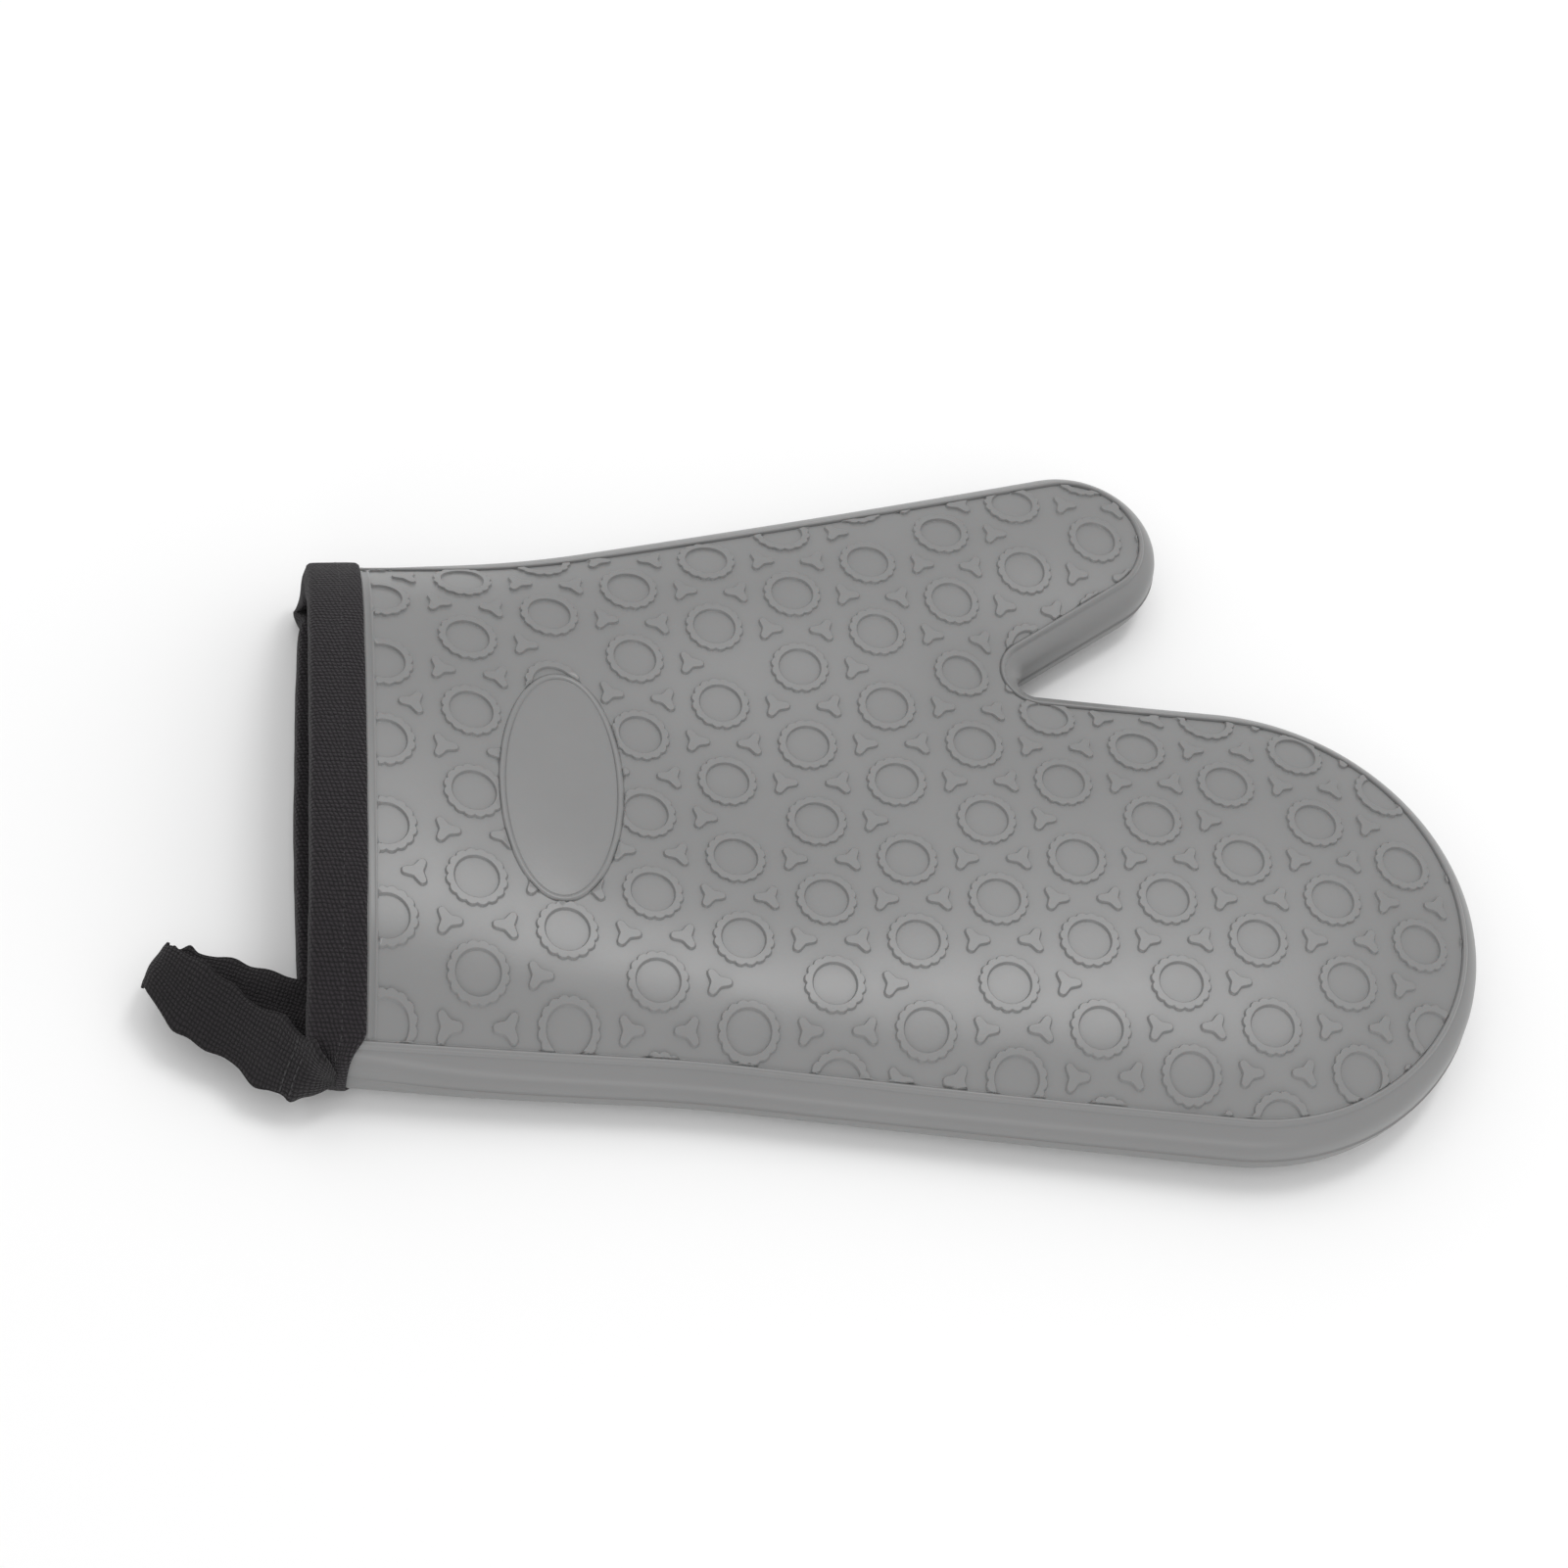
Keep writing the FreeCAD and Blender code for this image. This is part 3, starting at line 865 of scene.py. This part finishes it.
BACKING_DEPTH, WADDING_DEPTH, COTTON_DEPTH = 2.2, 2.7, 5.2
QUILT_PITCH = 32.0
QUILT_PUFF = 1.5
LINING_PITCH = 0.0006         # metres between the threads


def quilt_lines(points):
    """Distance of each point from the nearest line of each of the two quilting directions."""
    found = []
    for sign in (1.0, -1.0):
        across = (points[:, 0] + sign * points[:, 1]) / math.sqrt(2.0) / QUILT_PITCH
        found.append(np.abs((across + 0.5) % 1.0 - 0.5) * QUILT_PITCH)
    return found


def puffed(points, depth):
    """Puff of the quilting towards the hand, none along the stitching and at the seam."""
    first, second = quilt_lines(points)
    rise = (1.0 - np.exp(-first / 3.2)) * (1.0 - np.exp(-second / 3.2))
    return QUILT_PUFF * rise * smooth(depth / 6.0) * smooth((points[:, 0] - CUFF_X - 13.0) / 12.0)


def half_skin(inset, up, spacing, quilted):
    """The upper (up 1) or lower (up -1) half of a pouch skin, from its face to the side seam."""
    flat, triangles, border, cuff = face_plan(-inset, spacing, None)
    if up > 0:
        base = EDGE_HEIGHT + bow(flat) + crown(flat, triangles, border) - inset
    else:
        base = underside(flat) + inset
    other = underside(flat[border]) + inset if up > 0 else EDGE_HEIGHT + bow(flat[border]) - inset
    if quilted:
        base = base - up * puffed(flat, inside_distance(flat) - inset)
    points = [np.column_stack((flat, base))]
    faces = [tuple(int(v) for v in (t if up > 0 else t[::-1])) for t in triangles]
    above, start = border, len(flat)
    for share in (0.08, 0.18, 0.3, 0.4, 0.47):
        stand = 1.0 - abs(2 * share - 1) ** WALL_FULLNESS
        ring = wall_ring(-inset, stand, spacing)
        z = base[border] + (other - base[border]) * share
        points.append(np.column_stack((ring, z)))
        below = np.arange(start, start + len(ring))
        start += len(ring)
        for k in range(len(ring) - 1):
            quad = (above[k], below[k], below[k + 1], above[k + 1])
            faces.append(tuple(int(v) for v in (quad if up > 0 else quad[::-1])))
        above = below
    return np.vstack(points), faces


def layer(name, inset, up, thickness, material, node_name, slot, spacing=4.0, quilted=False):
    """A layer of the lining, thickened inwards from its outer skin."""
    points, faces = half_skin(inset, up, spacing, quilted)
    piece = new_object(name, to_frame(points), faces, material)
    flat = points[:, :2] * MM
    corners = [flat[v] for face in piece.data.polygons for v in face.vertices]
    cloth_uv(piece.data, corners)
    thick = piece.modifiers.new("thickness", "SOLIDIFY")
    thick.thickness = thickness * MM
    thick.offset = -1.0
    apply_modifiers(piece)
    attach(piece, "mitt")
    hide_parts(node_name)
    return piece, points


def apply_modifiers(piece):
    """Bakes the modifiers of a piece into its mesh."""
    graph = bpy.context.evaluated_depsgraph_get()
    graph.update()
    built = bpy.data.meshes.new_from_object(piece.evaluated_get(graph))
    piece.modifiers.clear()
    piece.data = built


# Rings along a stitch: (place in its length, share of its width, rise)
STITCH_RINGS = [
    (-0.5, 0.15, -0.25), (-0.42, 0.75, 0.1), (0.0, 1.0, 0.35), (0.42, 0.75, 0.1), (0.5, 0.15, -0.25),
]


def stitches(name, places, material, body, node_names, long=2.6, wide=0.5, high=0.3):
    """One mesh of short thread stitches. places are (middle, heading, normal) in plan millimetres."""
    around = [(math.cos(a), math.sin(a)) for a in np.arange(6) * math.pi / 3]
    points, faces = [], []
    for middle, heading, normal in places:
        middle, heading, normal = (np.asarray(v, float) for v in (middle, heading, normal))
        heading = heading / np.linalg.norm(heading)
        side = np.cross(normal, heading)
        side /= np.linalg.norm(side)
        start = len(points)
        for share, fat, rise in STITCH_RINGS:
            for c, d in around:
                offset = side * (c * wide / 2 * fat) + normal * (d * high / 2 * fat + rise * high)
                points.append(middle + heading * (share * long) + offset)
        for ring in range(4):
            for k in range(6):
                a, b = start + ring * 6 + k, start + ring * 6 + (k + 1) % 6
                faces.append((a, b, b + 6, a + 6))
        faces.append(tuple(start + k for k in range(5, -1, -1)))
        faces.append(tuple(start + 24 + k for k in range(6)))
    piece = new_object(name, to_frame(points), faces, material)
    if body == "loop":
        bend_with_loop(piece)
    else:
        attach(piece, body)
    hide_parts(*node_names)
    return piece


def bend_with_loop(piece):
    """Bakes the piece's placement into its mesh."""
    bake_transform(piece)


def quilting_places(points, up):
    """Stitch places along the quilting lines of a cotton layer, lying on its inner face."""
    tree = KDTree(len(points))
    for number, point in enumerate(points):
        tree.insert((point[0], point[1], 0.0), number)
    tree.balance()
    places = []
    diagonal = math.sqrt(0.5)
    for sign in (1.0, -1.0):
        across, along = np.array((1.0, sign)) * diagonal, np.array((1.0, -sign)) * diagonal
        for line in range(-7, 8):
            spots = across * line * QUILT_PITCH + along * np.arange(-230, 230, 4.0)[:, None]
            for spot in spots[inside_distance(spots) > COTTON_DEPTH + 4.0]:
                if spot[0] < CUFF_X + 14.0:
                    continue
                near = tree.find_n((*spot, 0.0), 3)
                z = sum(points[n][2] for _, n, _ in near) / 3
                places.append(((*spot, z - up * 0.65), (*along, 0.0), (0.0, 0.0, -up)))
    return places


def thread_material(name, colour):
    material, tree, shader = new_material(name)
    place = node(tree, "ShaderNodeTexCoord").outputs["Object"]
    inputs = {"Vector": place, "Scale": 900.0, "Distortion": 1.5}
    ply_height_and_shade = node(tree, "ShaderNodeTexWave", inputs).outputs["Fac"]
    # Painted shade: the thread is darker, down to 0.55 of its colour, in the grooves of its twist where the
    # bump is low.
    blend_colours(tree, shader, ply_height_and_shade, (*(c * 0.55 for c in colour), 1.0), (*colour, 1.0))
    roughen(tree, shader, ply_height_and_shade, 0.6, 0.0001)
    shader.inputs["Roughness"].default_value = 0.6
    return material


def lining():
    # Each layer's first colour lies in the weave's hollows as painted shade and its second on the raised
    # threads as painted sheen.
    backing = woven_material("lining_backing", (0.30, 0.29, 0.28, 1), (0.42, 0.41, 0.40, 1), LINING_PITCH)
    wadding = woven_material("wadding", (0.60, 0.60, 0.58, 1), (0.74, 0.74, 0.72, 1), LINING_PITCH)
    cotton = woven_material("lining_cotton", (0.20, 0.20, 0.205, 1), (0.34, 0.34, 0.345, 1), LINING_PITCH)
    thread = thread_material("lining_thread", (0.40, 0.40, 0.41))
    seam = []
    for half, up in (("palm", -1.0), ("back", 1.0)):
        felt, _ = layer(
            f"{half}_backing", BACKING_DEPTH, up, 0.4, backing, f"lining_{half}_backing", "lining_backing"
        )
        pad, _ = layer(
            f"{half}_wadding", WADDING_DEPTH, up, 2.4, wadding, f"lining_{half}_wadding", "wadding"
        )
        inner, points = layer(
            f"{half}_cotton", COTTON_DEPTH, up, 0.6, cotton,
            f"lining_{half}_cotton", "lining_cotton", 3.0, True,
        )
        places = quilting_places(points, up)
        stitches(f"{half}_quilting", places, thread, "mitt", [f"quilting_thread_{half}"])
    ring = edge(-COTTON_DEPTH - 0.6 + WALL_BULGE - LEDGE, 3.4)
    ring = ring[ring[:, 0] > CUFF_X + 13.0]
    middle = (EDGE_HEIGHT + bow(ring) + underside(ring)) / 2
    heading = np.gradient(ring, axis=0)
    for spot, z, way in zip(ring, middle, heading):
        inwards = np.array((-way[1], way[0], 0.0)) / np.hypot(*way)
        seam.append(((*spot, z), (*way, 0.0), inwards))
    stitches("seam_stitches", seam, thread, "mitt", ["lining_seam_thread"], 2.8, 0.8, 0.5)


lining()

# ---------------------------------------------------------------- hanging loop

LOOP_REST_Z = 10.8
LOOP_TAPE_WIDTH = 0.0135      # metres
SIGHT = 0.586                # how far y is lowered for each millimetre of rise, along the line of sight


def loop_point(x, y, z):
    """A point of the loop that looks as if it were at x, y on the rest plane."""
    return (x, y - SIGHT * (z - LOOP_REST_Z), z)


def through(points, count):
    """Smooth line through points, sampled evenly in their number."""
    points = np.asarray(points, float)
    padded = np.vstack((2 * points[0] - points[1], points, 2 * points[-1] - points[-2]))
    made = []
    for share in np.linspace(0, len(points) - 1, count):
        k = min(int(share), len(points) - 2)
        t = share - k
        a, b, c, d = padded[k : k + 4]
        made.append(b + 0.5 * t * (c - a + t * (2 * a - 5 * b + 4 * c - d + t * (3 * (b - c) + d - a))))
    return np.array(made)


def hanging_loop():
    """One tape from the side of the cuff's corner, out to its fold and back into the mouth."""
    upper = [
        (-103.8, -74.4, 13.6), (-107.5, -68.6, 20.6), (-112.4, -61.9, 18.0), (-122.0, -54.7, 13.8),
        (-132.0, -47.5, 13.4), (-138.6, -42.7, 12.6), (-140.2, -41.9, 10.6), (-138.4, -42.2, 8.8),
        (-133.0, -43.6, 8.2), (-122.0, -47.6, 9.6), (-110.6, -51.6, 12.4), (-104.0, -54.2, 13.4),
    ]
    lower = [
        (-104.0, -76.8, 8.0), (-110.8, -79.7, 8.0), (-118.0, -79.2, 8.4), (-128.4, -71.2, 9.0),
        (-138.2, -62.8, 10.4), (-144.2, -54.2, 11.6), (-145.4, -53.0, 9.6), (-143.4, -53.6, 7.4),
        (-137.6, -56.8, 6.4), (-126.5, -60.8, 7.0), (-115.0, -64.6, 9.2), (-108.6, -66.8, 11.6),
    ]
    count, across = 150, 17
    high = through([loop_point(*p) for p in upper], count)
    low = through([loop_point(*p) for p in lower], count)
    wave = through(rng.uniform(-1.0, 1.0, (34, 1)), count)
    share = np.linspace(0, 1, across)[None, :, None]
    surface = high[:, None] + (low - high)[:, None] * share
    surface += ((share - 0.5) * 2) ** 3 * wave[:, None] * (low - high)[:, None] / 13.5
    heading = np.gradient(surface, axis=0)
    sideways = np.gradient(surface, axis=1)
    normal = np.cross(heading, sideways)
    normal /= np.linalg.norm(normal, axis=2, keepdims=True)
    over = share[:, :, 0]
    buckle = 0.35 * np.sin(over * 7.0 + np.arange(count)[:, None] * 0.13) * np.sin(over * math.pi)
    surface = surface + normal * buckle[:, :, None]
    half = 0.6
    thick = half * (1.0 - 0.55 * np.abs(2 * share[0, :, 0] - 1) ** 8)[None, :, None]
    ring = np.concatenate((surface + normal * thick, (surface - normal * thick)[:, ::-1]), axis=1)
    ends = [np.repeat(surface[k].mean(0)[None], ring.shape[1], 0) for k in (0, -1)]
    points = np.vstack((ring.reshape(-1, 3), ends[0][:1], ends[1][:1]))
    wide = ring.shape[1]
    steps = np.linalg.norm(np.diff(surface[:, across // 2], axis=0), axis=1)
    along = np.concatenate(([0], np.cumsum(steps))) * MM
    over = np.concatenate((np.linspace(0, LOOP_TAPE_WIDTH, across), np.linspace(LOOP_TAPE_WIDTH, 0, across)))
    faces, uv = [], []
    for r in range(count - 1):
        for c in range(wide):
            c2 = (c + 1) % wide
            faces.append((r * wide + c, (r + 1) * wide + c, (r + 1) * wide + c2, r * wide + c2))
            near, far = along[r], along[r + 1]
            uv.extend(((over[c], near), (over[c], far), (over[c2], far), (over[c2], near)))
    for first, centre, flip in ((0, len(points) - 2, False), ((count - 1) * wide, len(points) - 1, True)):
        for c in range(wide):
            pair = (first + c, first + (c + 1) % wide)
            faces.append((centre, *(pair[::-1] if flip else pair)))
            uv.extend(((0, 0), (0.001, 0), (0, 0.001)))
    piece = new_object("hanging_loop_tape", to_frame(points), faces, loop_cloth)
    cloth_uv(piece.data, uv)
    bend_with_loop(piece)
    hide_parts("hanging_loop")
    return surface, normal


loop_surface, loop_normal = hanging_loop()

# ---------------------------------------------------------------- stitching of the tapes


def binding_stitches():
    """Lockstitches along both legs of the binding, one leg's on the shell side and one inside the mouth."""
    places = []
    for column in (5, 19):
        line = binding_grid[:, column]
        before, after = binding_grid[:, column - 1], binding_grid[:, column + 1]
        heading = np.roll(line, -1, 0) - np.roll(line, 1, 0)
        normal = np.cross(heading, after - before)
        normal /= np.linalg.norm(normal, axis=1, keepdims=True)
        for k in range(0, len(line), 4):
            places.append((line[k] + normal[k] * 0.05, heading[k], normal[k]))
    stitches("binding_stitches", places, tape_thread, "mitt", ["binding_stitching"], 2.4)


def loop_stitches():
    """A short bar of stitches that holds the loop's two legs to the cuff."""
    places = []
    for row in (20, 24):
        for column in range(2, 15, 2):
            heading = loop_surface[row, column + 1] - loop_surface[row, column - 1]
            normal = loop_normal[row, column]
            places.append((loop_surface[row, column] + normal * 0.6, heading, normal))
    stitches("loop_stitches", places, tape_thread, "loop", ["loop_stitching"], 1.5, 0.45)


tape_thread = thread_material("tape_thread", (0.030, 0.028, 0.030))
binding_stitches()
loop_stitches()

# ---------------------------------------------------------------- floor, light and camera


def floor():
    mesh = bmesh.new()
    bmesh.ops.create_grid(mesh, x_segments=2, y_segments=2, size=4.0)
    material, _, shader = new_material("floor")
    shader.inputs["Base Color"].default_value = (0.9, 0.9, 0.9, 1.0)
    shader.inputs["Roughness"].default_value = 0.9
    piece = put_in_scene("floor", mesh_from(mesh, "floor", material))


VIEW_TURN = math.radians(-18.7248)
VIEW_HEIGHT = math.radians(54.413)
VIEW_ROLL = math.radians(16.736)
VIEW_DISTANCE = 0.74238


def view_axes():
    """The camera's right, up and back directions."""
    flat = math.cos(VIEW_HEIGHT)
    back = Vector((math.sin(VIEW_TURN) * flat, -math.cos(VIEW_TURN) * flat, math.sin(VIEW_HEIGHT)))
    level = Vector((math.cos(VIEW_TURN), math.sin(VIEW_TURN), 0.0))
    upright = back.cross(level)
    right = level * math.cos(VIEW_ROLL) + upright * math.sin(VIEW_ROLL)
    return right, back.cross(right), back


def camera():
    right, up, back = view_axes()
    target = Vector(to_frame((0.0, 0.0, 16.8)))
    data = bpy.data.cameras.new("camera")
    data.lens = 73.19
    data.sensor_width = 36.0
    made = put_in_scene("camera", data)
    turn = Matrix((right, up, back)).transposed()
    made.matrix_world = Matrix.Translation(target + back * VIEW_DISTANCE) @ turn.to_4x4()
    bpy.context.scene.camera = made


def soft_light(name, place, size, power):
    data = bpy.data.lights.new(name, "AREA")
    data.shape = "RECTANGLE"
    data.size, data.size_y = size
    data.energy = power
    made = put_in_scene(name, data)
    made.location = place
    made.rotation_euler = (-Vector(place)).to_track_quat("-Z", "Y").to_euler()


def lights():
    right, up, back = view_axes()
    soft_light("overhead", Vector((0.27, 0.27, 1.2)), (0.2, 0.45), 2.4)
    soft_light("behind", up * 1.3 + back * 0.9 + right * 0.3, (1.4, 0.9), 4.0)
    soft_light("front", back * 0.9 - up * 1.2, (1.6, 0.8), 6.0)
    world = bpy.data.worlds.new("studio")
    world.use_nodes = True
    world.node_tree.nodes["Background"].inputs["Color"].default_value = (1.0, 1.0, 1.0, 1.0)
    world.node_tree.nodes["Background"].inputs["Strength"].default_value = 0.86
    bpy.context.scene.world = world
    bpy.context.scene.view_settings.view_transform = "Standard"


floor()
camera()
lights()
